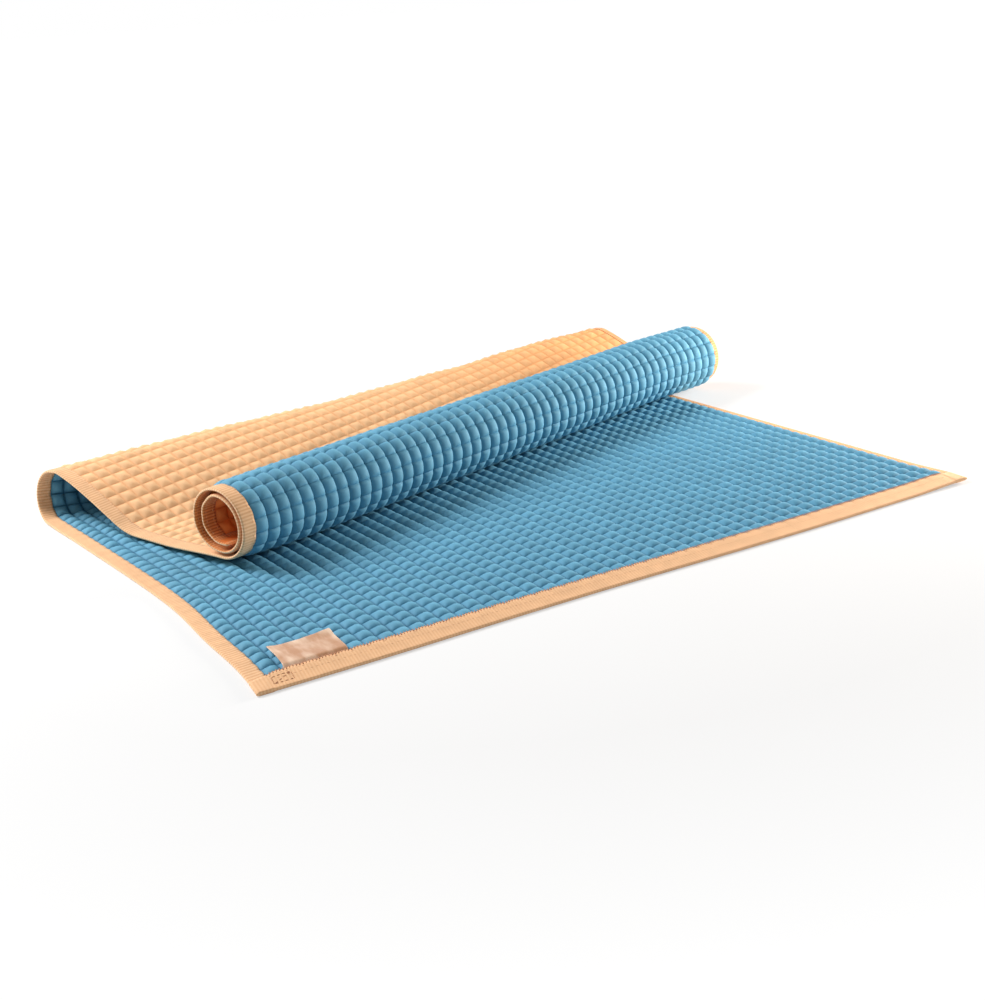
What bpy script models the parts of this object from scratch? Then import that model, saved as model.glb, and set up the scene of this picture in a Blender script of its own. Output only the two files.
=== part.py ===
# Rubber cot sheet: a quilted two-ply rubber sheet with a woven edge binding,
# laid out flat at the front, folded back on itself and rolled up at its free end.
#
# Every piece is cut and sewn flat, as on the bench, in the sheet's own measures:
#   u  across the sheet, from its left edge
#   v  along the sheet, from its front hem
#   h  off the seam between the two plies, towards the blue face
# and is then laid: lay() says where each of its points lies on the folded, rolled sheet.

import bpy
import bmesh
import numpy as np

MM = 0.001

# The sheet as it was cut and quilted.
SHEET_WIDTH = 600.0 * MM
SHEET_LENGTH = 980.0 * MM
BLUE_PLY = 2.2 * MM          # puffed height of the blue cells
PEACH_PLY = 1.85 * MM        # puffed height of the peach cells
PLY_GAP = 0.3 * MM           # between the two plies
PRESSED_PLY = 0.45 * MM      # each ply where the binding presses it flat
PUFF_RISE = 1.2 * MM         # from the pressed edge up to a full cell

# The edge binding, a woven tape folded over the edge.
SIDE_TAPE_WIDTH = 11.5 * MM
END_TAPE_WIDTH = 17.0 * MM
TAPE_THICKNESS = 0.5 * MM
TAPE_CLEARANCE = 0.3 * MM    # tape to ply, and tape to tape
TAPE_BEND = 0.45 * MM        # chamfer where the tape turns round the edge

# The lockstitch that holds the binding: one thread on each side of the sheet.
THREAD_WIDTH = 0.6 * MM
THREAD_THICKNESS = 0.25 * MM
THREAD_CLEARANCE = 0.15 * MM
SEAM_INSET = 2.2 * MM        # from the inner edge of the tape to the stitches

# The woven label, sewn on beside the front binding.
LABEL_LENGTH = 43.0 * MM
LABEL_WIDTH = 28.0 * MM
LABEL_THICKNESS = 0.35 * MM
LABEL_FROM_SIDE = 12.0 * MM  # from the side binding's inner edge
LABEL_CLEARANCE = 0.3 * MM

# How the sheet lies.
FRONT_TO_ORIGIN = 250.0 * MM     # the origin lies on the floor, behind the front edge
FOLD_TURN = np.radians(8.3)      # the fold line is turned this far from the front edge
FLAT_LENGTH_LEFT = 403.5 * MM    # front edge to the fold, along the left edge
BOW = 11.6 * MM                  # the left edge is drawn in this far behind the front corner
BOW_LENGTH = 450.0 * MM          # and is straight again this far from the front edge
FOLD_RADIUS = 20.4 * MM          # of the bight, at the seam between the plies
FOLD_OVERTURN = np.radians(23.7)   # the upper layer comes down at this slope
FOLD_LAND_RADIUS = 19.3 * MM     # where it meets the lower layer
LAYER_GAP = 0.3 * MM             # between the lower and the upper layer
UPPER_LAYER_RIGHT = 24.5 * MM    # from the fold to the roll, along the right edge
ROLL_RADIUS = 27.0 * MM          # outer turn, at the seam between the plies
SECTION_GAP = 0.3 * MM           # where one section of the sheet meets the next

# The roll's seam line lies this far inside its outer turn (INSETS) at these quarter turns from
# the bottom: touching in front, slack behind, and the free end sprung back onto the turn below.
ROLL_QUARTERS = np.array([0, 3, 4, 6, 6.5, 7, 7.6, 8, 8.5, 12, 16])
ROLL_INSETS = np.array([0, 0, 4.8, 4.8, 7.6, 9.8, 11.6, 11.4, 9.5, 16.6, 21.4]) * MM

FLAT_STEPS = 9
FOLD_STEPS = 14
LAND_STEPS = 3
ROLL_STEP = np.radians(12.0)
TAPE_LEG_STEPS = 5
ROLL_TABLE_STEPS = 4000

# Heights off the seam between the plies.
BLUE_TOP = PLY_GAP / 2 + BLUE_PLY
PEACH_TOP = PLY_GAP / 2 + PEACH_PLY
PRESSED_TOP = PLY_GAP / 2 + PRESSED_PLY
TAPE_INSIDE = PRESSED_TOP + TAPE_CLEARANCE
TAPE_OUTSIDE = TAPE_INSIDE + TAPE_THICKNESS
THREAD_FROM = TAPE_OUTSIDE + THREAD_CLEARANCE
THREAD_TO = THREAD_FROM + THREAD_THICKNESS
PLY_EDGE = TAPE_THICKNESS + TAPE_CLEARANCE

# Heights over the floor: the lower layer lies on its peach side.
LOWER_SEAM_Z = PEACH_TOP
LAYER_RISE = 2 * BLUE_TOP + LAYER_GAP

# The fold, measured along its own cross line: bight, slope, landing.
BIGHT_LENGTH = FOLD_RADIUS * (np.pi + FOLD_OVERTURN)
SLOPE_DROP = (FOLD_RADIUS * (1 + np.cos(FOLD_OVERTURN)) - LAYER_RISE
              - FOLD_LAND_RADIUS * (1 - np.cos(FOLD_OVERTURN)))
SLOPE_LENGTH = SLOPE_DROP / np.sin(FOLD_OVERTURN)
LAND_LENGTH = FOLD_LAND_RADIUS * FOLD_OVERTURN
FOLD_LENGTH = BIGHT_LENGTH + SLOPE_LENGTH + LAND_LENGTH

# The roll leaves the upper layer along a line straight across the sheet.
FOLD_END_RIGHT = (FLAT_LENGTH_LEFT + FOLD_LENGTH / np.cos(FOLD_TURN)
                  + SHEET_WIDTH * np.tan(FOLD_TURN))
ROLL_START = FOLD_END_RIGHT + UPPER_LAYER_RIGHT

# The hinge that stands for opening the fold runs through the middle of the bight.
HINGE_BEHIND_FOLD_LINE = 13.0 * MM


def fold_frame(u, v):
    """Distances along the fold line (p) and across it (q) of a point of the flat sheet."""
    rest = v - FLAT_LENGTH_LEFT
    p = u * np.cos(FOLD_TURN) + rest * np.sin(FOLD_TURN)
    q = rest * np.cos(FOLD_TURN) - u * np.sin(FOLD_TURN)
    return p, q


def fold_profile(q):
    """Seam line of the fold: how far back and up it is, and its heading, q past the fold line."""
    slope_from = BIGHT_LENGTH
    land_from = slope_from + SLOPE_LENGTH
    turn = np.clip(q / FOLD_RADIUS, 0, np.pi + FOLD_OVERTURN)
    slope = np.clip(q - slope_from, 0, SLOPE_LENGTH)
    land = np.clip((q - land_from) / FOLD_LAND_RADIUS, 0, FOLD_OVERTURN)
    after = np.maximum(q - FOLD_LENGTH, 0)
    heading = turn - land
    back = np.minimum(q, 0) + FOLD_RADIUS * np.sin(turn) - slope * np.cos(FOLD_OVERTURN)
    back = back - FOLD_LAND_RADIUS * (np.sin(FOLD_OVERTURN) - np.sin(FOLD_OVERTURN - land)) - after
    up = FOLD_RADIUS * (1 - np.cos(turn)) - slope * np.sin(FOLD_OVERTURN)
    up = up - FOLD_LAND_RADIUS * (np.cos(FOLD_OVERTURN - land) - np.cos(FOLD_OVERTURN))
    return back, up, heading


def roll_radius(angle):
    """Radius of the roll at an angle from the bottom (0) round the front, top and rear."""
    stations = ROLL_QUARTERS * np.pi / 2
    radii = ROLL_RADIUS - ROLL_INSETS
    k = np.clip(np.searchsorted(stations, angle, side="right") - 1, 0, len(stations) - 2)
    share = np.clip((angle - stations[k]) / (stations[k + 1] - stations[k]), 0, 1)
    ease = (1 - np.cos(np.pi * share)) / 2
    return radii[k] + (radii[k + 1] - radii[k]) * ease


def roll_section(angle):
    """Seam line of the roll in its cross plane: forwards and up from where the roll starts."""
    r = roll_radius(angle)
    return r * np.sin(angle), ROLL_RADIUS - r * np.cos(angle)


# Length of sheet used up by each angle of the roll, and the angle at which it ends.
roll_angles = np.linspace(0, 3 * 2 * np.pi, ROLL_TABLE_STEPS)
roll_forward, roll_up = roll_section(roll_angles)
roll_used = np.concatenate([[0], np.cumsum(np.hypot(np.diff(roll_forward), np.diff(roll_up)))])
ROLL_END = np.interp(SHEET_LENGTH - ROLL_START, roll_used, roll_angles)


def drawn_in(u, v):
    """How far the sheet is drawn in to the right: a hump of height BOW, fading out across it."""
    share = np.clip(v / BOW_LENGTH, 0, 1)
    return BOW * 27 / 4 * share * (1 - share) ** 2 * (1 - u / SHEET_WIDTH)


def lay(u, v, h):
    """World place of a point of the flat sheet: flat, then round the fold, then up the roll."""
    u = u + drawn_in(u, v)
    on_layer = np.minimum(v, ROLL_START)
    p, q = fold_frame(u, on_layer)
    back, up, heading = fold_profile(q)
    past = np.maximum(v - ROLL_START, 0)
    angle = np.interp(past, roll_used, roll_angles)
    forward, lift = roll_section(angle)
    tip = np.array(roll_section(angle + ROLL_STEP / 100))
    run = tip - np.array([forward, lift])
    run = run / np.hypot(run[0], run[1])
    rolled = past > 0
    # Off the seam: the blue side is above the flat layer, below the upper one, outside the roll.
    back = back + np.where(rolled, 0, -h * np.sin(heading))
    up = up + np.where(rolled, 0, h * np.cos(heading))
    forward = forward + np.where(rolled, h * run[1], 0)
    lift = lift - np.where(rolled, h * run[0], 0)
    turn = 2 * FOLD_TURN
    x = p * np.cos(FOLD_TURN) - back * np.sin(FOLD_TURN) + forward * np.sin(turn)
    y = p * np.sin(FOLD_TURN) + back * np.cos(FOLD_TURN) - forward * np.cos(turn)
    x = x - SHEET_WIDTH / 2
    y = y + FLAT_LENGTH_LEFT - FRONT_TO_ORIGIN
    z = LOWER_SEAM_Z + up + lift
    return np.stack([x, y, z], axis=-1)


def cross_line(v):
    """A line straight across the sheet, as its place at the left edge and its slope."""
    return v, 0.0


def fold_line(q):
    """A line along the fold, q past where the sheet leaves the floor."""
    return FLAT_LENGTH_LEFT + q / np.cos(FOLD_TURN), np.tan(FOLD_TURN)


def material(name, colour, roughness):
    made = bpy.data.materials.new(name)
    made.use_nodes = True
    shader = made.node_tree.nodes["Principled BSDF"]
    shader.inputs["Base Color"].default_value = (*colour, 1)
    shader.inputs["Roughness"].default_value = roughness
    return made


def finish(name, bm, place, finish_material, collection):
    """Turn a piece that was built flat into an object, with every point laid in its place."""
    flat = np.array([vert.co for vert in bm.verts], dtype=float)
    for vert, point in zip(bm.verts, place(flat)):
        vert.co = point
    bmesh.ops.recalc_face_normals(bm, faces=bm.faces)
    if bm.calc_volume(signed=True) < 0:
        bmesh.ops.reverse_faces(bm, faces=bm.faces)
    mesh = bpy.data.meshes.new(name)
    bm.to_mesh(mesh)
    bm.free()
    mesh.shade_smooth()
    mesh.set_sharp_from_angle(angle=np.radians(35))
    mesh.materials.append(finish_material)
    piece = bpy.data.objects.new(name, mesh)
    collection.objects.link(piece)
    return piece


def prism(section, stations):
    """A closed bar: the section, in x and z, carried along y through the numbered stations."""
    bm = bmesh.new()
    face = bm.faces.new([bm.verts.new((a, 0, b)) for a, b in section])
    for step in range(1, stations):
        grown = bmesh.ops.extrude_face_region(bm, geom=[face])["geom"]
        if step > 1:
            bmesh.ops.delete(bm, geom=[face], context="FACES_ONLY")
        face = next(item for item in grown if isinstance(item, bmesh.types.BMFace))
        for vert in face.verts:
            vert.co.y = step
    return bm


def along(lines):
    """Laying rule for a bar that runs along the sheet: station k follows the k-th line."""
    base = np.array([line[0] for line in lines])
    slope = np.array([line[1] for line in lines])

    def place(flat):
        k = np.rint(flat[:, 1]).astype(int)
        return lay(flat[:, 0], base[k] + slope[k] * flat[:, 0], flat[:, 2])
    return place


def across(start, stop):
    """Laying rule for a bar that runs across the sheet, from one side measure to another."""
    ends = np.array([start, stop])

    def place(flat):
        k = np.rint(flat[:, 1]).astype(int)
        return lay(ends[k], flat[:, 0], flat[:, 2])
    return place


def ply(name, lines, pressed_lines, side, top, finish_material, collection):
    """One ply of one section: pressed flat under the binding, full height in the field."""
    rise_at = SIDE_TAPE_WIDTH + TAPE_CLEARANCE
    half = [PLY_EDGE, rise_at, rise_at + PUFF_RISE]
    columns = np.array(half + [SHEET_WIDTH - place for place in reversed(half)])
    pressed_column = np.array([1, 1, 0, 0, 1, 1], dtype=bool)
    bm = bmesh.new()
    bmesh.ops.create_grid(bm, x_segments=len(columns) - 1, y_segments=len(lines) - 1, size=1)
    for vert in bm.verts:
        vert.co.x = (vert.co.x + 1) / 2 * (len(columns) - 1)
        vert.co.y = (vert.co.y + 1) / 2 * (len(lines) - 1)
    grown = bmesh.ops.extrude_face_region(bm, geom=bm.faces[:], use_keep_orig=True)["geom"]
    for item in grown:
        if isinstance(item, bmesh.types.BMVert):
            item.co.z = 1
    base = np.array([line[0] for line in lines])
    slope = np.array([line[1] for line in lines])

    def place(flat):
        i = np.rint(flat[:, 0]).astype(int)
        k = np.rint(flat[:, 1]).astype(int)
        pressed = pressed_column[i] | np.isin(k, pressed_lines)
        outer = np.where(pressed, PRESSED_TOP, top)
        h = side * np.where(flat[:, 2] > 0.5, outer, PLY_GAP / 2)
        u = columns[i]
        return lay(u, base[k] + slope[k] * u, h)
    return finish(name, bm, place, finish_material, collection)


def tape_section(width):
    """The binding's C section: legs above and below the plies, closed round the edge."""
    reach = np.linspace(width, TAPE_THICKNESS, TAPE_LEG_STEPS)
    outer_legs = np.linspace(width, TAPE_BEND, TAPE_LEG_STEPS)
    upper = [(a, TAPE_OUTSIDE) for a in outer_legs] + [(0, TAPE_OUTSIDE - TAPE_BEND)]
    lower = [(a, -b) for a, b in reversed(upper)]
    inside = [(a, -TAPE_INSIDE) for a in reach] + [(a, TAPE_INSIDE) for a in reversed(reach)]
    return upper + lower + inside


def thread_section(width, side):
    """A stitched thread's flat bar, just off the tape on one side of the sheet."""
    middle = width - SEAM_INSET
    near, far = middle - THREAD_WIDTH / 2, middle + THREAD_WIDTH / 2
    return [(near, side * THREAD_FROM), (far, side * THREAD_FROM),
            (far, side * THREAD_TO), (near, side * THREAD_TO)]


def mirrored(section, whole):
    """The same section at the opposite edge of the sheet."""
    return [(whole - a, b) for a, b in section]


# Start from an empty scene.
for old in list(bpy.data.objects):
    bpy.data.objects.remove(old, do_unlink=True)

sheet = bpy.data.collections.new("rubber_cot_sheet")
bpy.context.scene.collection.children.link(sheet)

blue_rubber = material("blue_rubber", (0.11, 0.34, 0.52), 0.45)
peach_rubber = material("peach_rubber", (0.90, 0.52, 0.24), 0.5)
binding_tape = material("binding_tape", (0.86, 0.46, 0.20), 0.8)
thread = material("thread", (0.45, 0.18, 0.06), 0.7)
label_satin = material("label_satin", (0.72, 0.46, 0.32), 0.35)

# Lines of each section, from the front hem to the free end.
end_rise = END_TAPE_WIDTH + TAPE_CLEARANCE
half_gap = SECTION_GAP / 2
bight_lines = [fold_line(q) for q in np.linspace(0, BIGHT_LENGTH, FOLD_STEPS + 1)[1:]]
land_lines = [fold_line(q) for q in np.linspace(FOLD_LENGTH - LAND_LENGTH, FOLD_LENGTH,
                                                LAND_STEPS + 1)[:-1]]
roll_steps = np.arange(0, ROLL_END, ROLL_STEP)
roll_lines = [cross_line(ROLL_START + v) for v in np.interp(roll_steps, roll_angles, roll_used)]

lines_of = {
    "flat": [cross_line(PLY_EDGE), cross_line(end_rise)]
    + [cross_line(v) for v in np.linspace(end_rise + PUFF_RISE, FLAT_LENGTH_LEFT, FLAT_STEPS + 1)[:-1]]
    + [fold_line(-half_gap)],
    "fold": [fold_line(half_gap)] + bight_lines + land_lines + [fold_line(FOLD_LENGTH - half_gap)],
    "rolled": [fold_line(FOLD_LENGTH + half_gap)]
    + [line for line in roll_lines if line[0] < SHEET_LENGTH - end_rise - 2 * PUFF_RISE]
    + [cross_line(SHEET_LENGTH - end_rise - PUFF_RISE), cross_line(SHEET_LENGTH - end_rise)]
    + [line for line in roll_lines if line[0] > SHEET_LENGTH - end_rise + PUFF_RISE
       and line[0] < SHEET_LENGTH - PLY_EDGE - PUFF_RISE]
    + [cross_line(SHEET_LENGTH - PLY_EDGE)],
}
rolled_field = [k for k, line in enumerate(lines_of["rolled"])
                if line[1] > 0 or line[0] < SHEET_LENGTH - end_rise - PUFF_RISE / 2]
pressed_of = {
    "flat": [0, 1],
    "fold": [],
    "rolled": [k for k in range(len(lines_of["rolled"])) if k not in rolled_field],
}

# The two plies, in three sections: on the floor, round the fold, and rolled up.
for section, lines in lines_of.items():
    pressed = pressed_of[section]
    ply("blue_face_" + section, lines, pressed, 1, BLUE_TOP, blue_rubber, sheet)
    ply("peach_back_" + section, lines, pressed, -1, PEACH_TOP, peach_rubber, sheet)

# The binding along the two sides, and the threads that hold it. Side tapes stop at the end tapes.
tape_lines_of = dict(lines_of)
tape_lines_of["flat"] = lines_of["flat"][1:]
tape_lines_of["rolled"] = [line for line in lines_of["rolled"]
                           if line[1] > 0 or line[0] < SHEET_LENGTH - end_rise + PUFF_RISE / 2]
for section, lines in tape_lines_of.items():
    for side, turned in (("left", lambda shape: shape),
                         ("right", lambda shape: mirrored(shape, SHEET_WIDTH))):
        tape = prism(turned(tape_section(SIDE_TAPE_WIDTH)), len(lines))
        finish(f"binding_{side}_{section}", tape, along(lines), binding_tape, sheet)
        upper = prism(turned(thread_section(SIDE_TAPE_WIDTH, 1)), len(lines))
        finish(f"needle_thread_{side}_{section}", upper, along(lines), thread, sheet)
        lower = prism(turned(thread_section(SIDE_TAPE_WIDTH, -1)), len(lines))
        finish(f"bobbin_thread_{side}_{section}", lower, along(lines), thread, sheet)

# The binding across the two ends, over the ends of the side tapes.
for end, turned in (("front", lambda shape: shape),
                    ("back", lambda shape: mirrored(shape, SHEET_LENGTH))):
    tape = prism(turned(tape_section(END_TAPE_WIDTH)), 2)
    finish(f"binding_{end}", tape, across(0, SHEET_WIDTH), binding_tape, sheet)
    inset = SIDE_TAPE_WIDTH - SEAM_INSET
    upper = prism(turned(thread_section(END_TAPE_WIDTH, 1)), 2)
    finish(f"needle_thread_{end}", upper, across(inset, SHEET_WIDTH - inset), thread, sheet)
    lower = prism(turned(thread_section(END_TAPE_WIDTH, -1)), 2)
    finish(f"bobbin_thread_{end}", lower, across(inset, SHEET_WIDTH - inset), thread, sheet)

# The label, lying on the cells beside the front binding.
label_from = END_TAPE_WIDTH + TAPE_CLEARANCE + PUFF_RISE
label_left = SIDE_TAPE_WIDTH + LABEL_FROM_SIDE
label_low = BLUE_TOP + LABEL_CLEARANCE
label_shape = [(label_from, label_low), (label_from + LABEL_WIDTH, label_low),
               (label_from + LABEL_WIDTH, label_low + LABEL_THICKNESS),
               (label_from, label_low + LABEL_THICKNESS)]
finish("label", prism(label_shape, 2), across(label_left, label_left + LABEL_LENGTH),
       label_satin, sheet)

# Where the fold's hinge lies, shown as an empty.
hinge = bpy.data.objects.new("fold_hinge_axis", None)
along_fold = SHEET_WIDTH / 2
hinge.location = (
    along_fold * np.cos(FOLD_TURN) - HINGE_BEHIND_FOLD_LINE * np.sin(FOLD_TURN)
    - SHEET_WIDTH / 2,
    along_fold * np.sin(FOLD_TURN) + HINGE_BEHIND_FOLD_LINE * np.cos(FOLD_TURN)
    + FLAT_LENGTH_LEFT - FRONT_TO_ORIGIN,
    LOWER_SEAM_Z + FOLD_RADIUS)
hinge.rotation_euler = (0, 0, FOLD_TURN)
hinge.empty_display_size = FOLD_RADIUS
sheet.objects.link(hinge)
bpy.context.view_layer.update()
for piece in list(sheet.objects):
    if piece.type == "MESH" and piece.name.endswith(("_rolled", "_back")):
        piece.parent = hinge
        piece.matrix_parent_inverse = hinge.matrix_world.inverted()
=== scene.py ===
import bpy
import numpy as np
from mathutils import Matrix


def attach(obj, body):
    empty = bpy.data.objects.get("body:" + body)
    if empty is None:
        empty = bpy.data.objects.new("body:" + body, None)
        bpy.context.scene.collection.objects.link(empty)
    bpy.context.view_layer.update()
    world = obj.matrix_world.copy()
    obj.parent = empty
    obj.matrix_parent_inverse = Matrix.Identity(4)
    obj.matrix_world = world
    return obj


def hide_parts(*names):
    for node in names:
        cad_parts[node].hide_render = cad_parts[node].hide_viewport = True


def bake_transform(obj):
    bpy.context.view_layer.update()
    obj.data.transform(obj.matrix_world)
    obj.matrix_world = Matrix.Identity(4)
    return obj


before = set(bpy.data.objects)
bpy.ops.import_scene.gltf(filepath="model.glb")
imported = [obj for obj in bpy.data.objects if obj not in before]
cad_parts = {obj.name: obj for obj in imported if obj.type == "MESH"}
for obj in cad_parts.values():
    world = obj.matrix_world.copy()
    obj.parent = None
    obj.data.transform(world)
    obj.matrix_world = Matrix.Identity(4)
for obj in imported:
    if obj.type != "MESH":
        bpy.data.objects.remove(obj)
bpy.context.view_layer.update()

# Blue face: the upper of two plies of foamed rubber, 600 mm wide and 980 mm long, moulded into
# puffed square cells, 51 across and 84 along, and bonded to the under ply along their valleys.
# It is worked out flat: u across, v along, h off the seam between the plies towards the blue.
MM = 0.001
SHEET_WIDTH, SHEET_LENGTH = 600 * MM, 980 * MM
FRONT_Y, SEAM_Z = -250 * MM, 2 * MM
FLAT_LEFT, FOLD_TURN = 403.5 * MM, np.radians(8.3)


def ease(t):
    """Goes smoothly from 0 to 1 as t goes from 0 to 1: 3 t squared less 2 t cubed."""
    t = np.clip(t, 0, 1)
    return t * t * (3 - 2 * t)


def bell(x, middle, reach):
    """A bell of height 1: e to minus the square of the distance from the middle over reach."""
    return np.exp(-((x - middle) / reach) ** 2)


def hump(t):
    """Rises from 0 to 1 by a third of the way and falls gently: 27/4 of t (1 - t) squared."""
    return 27 / 4 * t * (1 - t) ** 2


def through(x, stations, values):
    """The value at x, going from station to station by a half cosine wave."""
    k = np.clip(np.searchsorted(stations, x, side="right") - 1, 0, len(stations) - 2)
    share = np.clip((x - stations[k]) / (stations[k + 1] - stations[k]), 0, 1)
    return values[k] + (values[k + 1] - values[k]) * (1 - np.cos(np.pi * share)) / 2


BOW, BOW_LENGTH = 11.6 * MM, 450 * MM
BOW_DIP, DIP_AT, DIP_REACH = 0.3, 90 * MM, 50 * MM
FLARE, FLARE_AT, FLARE_REACH = 2.3 * MM, 425 * MM, 45 * MM
HEM_WAVE, WAVE_PEAK, WAVE_LENGTH, WAVE_REACH = 1.1 * MM, 60 * MM, 360 * MM, 40 * MM


def past_fold(u, v):
    """How far a point of the flat sheet is along the slanting fold line, and how far past it.
    The left edge is drawn in by a hump, less a bell near the front corner, and another bell
    flares it out at the bight. The front hem waves in and out by a cosine of the place across."""
    left = 1 - u / SHEET_WIDTH
    drawn_in = (BOW * hump(np.clip(v / BOW_LENGTH, 0, 1))
                * (1 - BOW_DIP * bell(v, DIP_AT, DIP_REACH)))
    hem = HEM_WAVE * (1 + np.cos(2 * np.pi * (u - WAVE_PEAK) / WAVE_LENGTH))
    u = u + drawn_in * left - FLARE * bell(v, FLARE_AT, FLARE_REACH) * left ** 2
    past = v - FLAT_LEFT - hem * ease(1 - v / WAVE_REACH)
    return (u * np.cos(FOLD_TURN) + past * np.sin(FOLD_TURN),
            past * np.cos(FOLD_TURN) - u * np.sin(FOLD_TURN))


EDGE_SAG, SAG_REACH = 0.8 * MM, 25 * MM
CORNER_LIFT, CORNER_REACH = 1.6 * MM, 60 * MM


def sag(u, v):
    """How far the flat part's left and front edges sink, eased in over the last 25 mm before
    each, less the lift of the right front corner."""
    corner = ease((u - SHEET_WIDTH) / CORNER_REACH + 1) * ease(1 - v / CORNER_REACH)
    edges = ease((SAG_REACH - np.minimum(u, v)) / SAG_REACH)
    return EDGE_SAG * edges * ease(-past_fold(u, v)[1] / SAG_REACH) - CORNER_LIFT * corner


ROLL_RADIUS, MOST_TURNS, TINY_TURN = 27 * MM, 3, 0.002
ROLL_QUARTERS = np.array([0, 3, 4, 6, 6.5, 7, 7.6, 8, 8.5, 12, 16])
ROLL_INSETS = np.array([0, 0, 4.8, 4.8, 7.6, 9.8, 11.6, 11.4, 9.5, 16.6, 21.4]) * MM


def roll_seam(angle):
    """Seam line of the roll: a circle whose radius eases inwards from station to station."""
    r = through(angle, ROLL_QUARTERS * np.pi / 2, ROLL_RADIUS - ROLL_INSETS)
    return np.array([r * np.sin(angle), ROLL_RADIUS - r * np.cos(angle)])


roll_angles = np.linspace(0, MOST_TURNS * 2 * np.pi, 4000)
roll_used = np.append(0, np.cumsum(np.hypot(*np.diff(roll_seam(roll_angles), axis=1))))

# The sheet turns round the bight by 23.7 degrees more than half a turn, slopes down and lands on
# itself. The roll starts 16 mm after that on the right, and later on the left.
FOLD_RADIUS, OVERTURN, LAND_RADIUS = 20.4 * MM, np.radians(23.7), 60 * MM
LAYER_RISE, UPPER_RIGHT = 5 * MM, 16 * MM
RIDGE_STATIONS = np.array([0, 120, 270, 400, 520, 600]) * MM
RIDGE_LIFTS = np.array([0, 0, -0.05, 0, 0.11, 0.12])
SHOULDER = 2.6 * MM
ROLL_LIFT, ROLL_LIFT_REACH = 3 * MM, 70 * MM
ROLL_DROOP, DROOP_REACH = 2.5 * MM, 100 * MM

bight = FOLD_RADIUS * (np.pi + OVERTURN)
slope = (FOLD_RADIUS * (1 + np.cos(OVERTURN)) - LAYER_RISE
         - LAND_RADIUS * (1 - np.cos(OVERTURN))) / np.sin(OVERTURN)
fold_length = bight + slope + LAND_RADIUS * OVERTURN
landing = -(FOLD_RADIUS + LAND_RADIUS) * np.sin(OVERTURN) - slope * np.cos(OVERTURN)
roll_start = (FLAT_LEFT + fold_length / np.cos(FOLD_TURN) + SHEET_WIDTH * np.tan(FOLD_TURN)
              + UPPER_RIGHT)


def lay(u, v, h):
    """World place of the flat sheet's points: straight along the floor, round the bight by an
    arc, down its slope, back along the lower layer and up the roll, always h square off the
    seam. p runs along the fold line and q past it. The fold is a little higher towards its right
    end, the slope has a shoulder, and the roll's left end lifts and its right end droops."""
    u, v, h = np.broadcast_arrays(u, v, h)
    p, q = past_fold(u, np.minimum(v, roll_start))
    turn = np.clip(q / FOLD_RADIUS, 0, np.pi + OVERTURN)
    down = np.clip(q - bight, 0, slope)
    land = np.clip((q - bight - slope) / LAND_RADIUS, 0, OVERTURN)
    heading = turn - land
    back = (np.minimum(q, 0) + FOLD_RADIUS * np.sin(turn) - down * np.cos(OVERTURN)
            - LAND_RADIUS * (np.sin(OVERTURN) - np.sin(OVERTURN - land))
            - np.maximum(q - fold_length, 0))
    up = (FOLD_RADIUS * (1 - np.cos(turn)) - down * np.sin(OVERTURN)
          - LAND_RADIUS * (np.cos(OVERTURN - land) - np.cos(OVERTURN)))
    over = np.clip((q - np.pi * FOLD_RADIUS) / (fold_length - np.pi * FOLD_RADIUS), 0, 1)
    up = up * (1 + through(u, RIDGE_STATIONS, RIDGE_LIFTS)) + SHOULDER * hump(over)
    past = np.maximum(v - roll_start, 0)
    rolled = past > 0
    angle = np.interp(past, roll_used, roll_angles)
    forward, lift = roll_seam(angle)
    run = roll_seam(angle + TINY_TURN) - roll_seam(angle)
    run = run / np.hypot(*run)
    back = back - np.where(rolled, 0, h * np.sin(heading))
    up = up + np.where(rolled, 0, h * np.cos(heading))
    forward = forward + np.where(rolled, h * run[1], 0)
    lift = lift - np.where(rolled, h * run[0], 0)
    near = ease((v - roll_start) / ROLL_LIFT_REACH + 1)
    up = (up + ROLL_LIFT * ease(1 - u / ROLL_LIFT_REACH) * near * (1 - lift / (2 * ROLL_RADIUS))
          - ROLL_DROOP * ease((u - SHEET_WIDTH) / DROOP_REACH + 1)
          * np.where(rolled, 1, near ** 4))
    x = p * np.cos(FOLD_TURN) - back * np.sin(FOLD_TURN) + forward * np.sin(2 * FOLD_TURN)
    y = p * np.sin(FOLD_TURN) + back * np.cos(FOLD_TURN) - forward * np.cos(2 * FOLD_TURN)
    return np.stack([x - SHEET_WIDTH / 2, y + FLAT_LEFT + FRONT_Y,
                     SEAM_Z + up + lift - sag(u, v)], -1)


# The cells lie between the tapes. Each has six steps both ways, closer together at its valleys,
# and in_u and in_v go from -1 to 1 across it. A few more lines carry the plies under the tapes.
CELLS_ACROSS, CELLS_ALONG = 51, 84
SIDE_TAPE, RIGHT_TAPE, END_TAPE = 11.5 * MM, 7 * MM, 17 * MM
FIRST_ROW, UNDER_TAPE = END_TAPE + 0.3 * MM, 0.5 * MM
CELL_U = (SHEET_WIDTH - SIDE_TAPE - RIGHT_TAPE) / CELLS_ACROSS
CELL_V = (SHEET_LENGTH - 2 * FIRST_ROW) / CELLS_ALONG
STEPS = np.array([-1, -0.88, -0.5, 0, 0.5, 0.88])
SLACK = 1e-6

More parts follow.
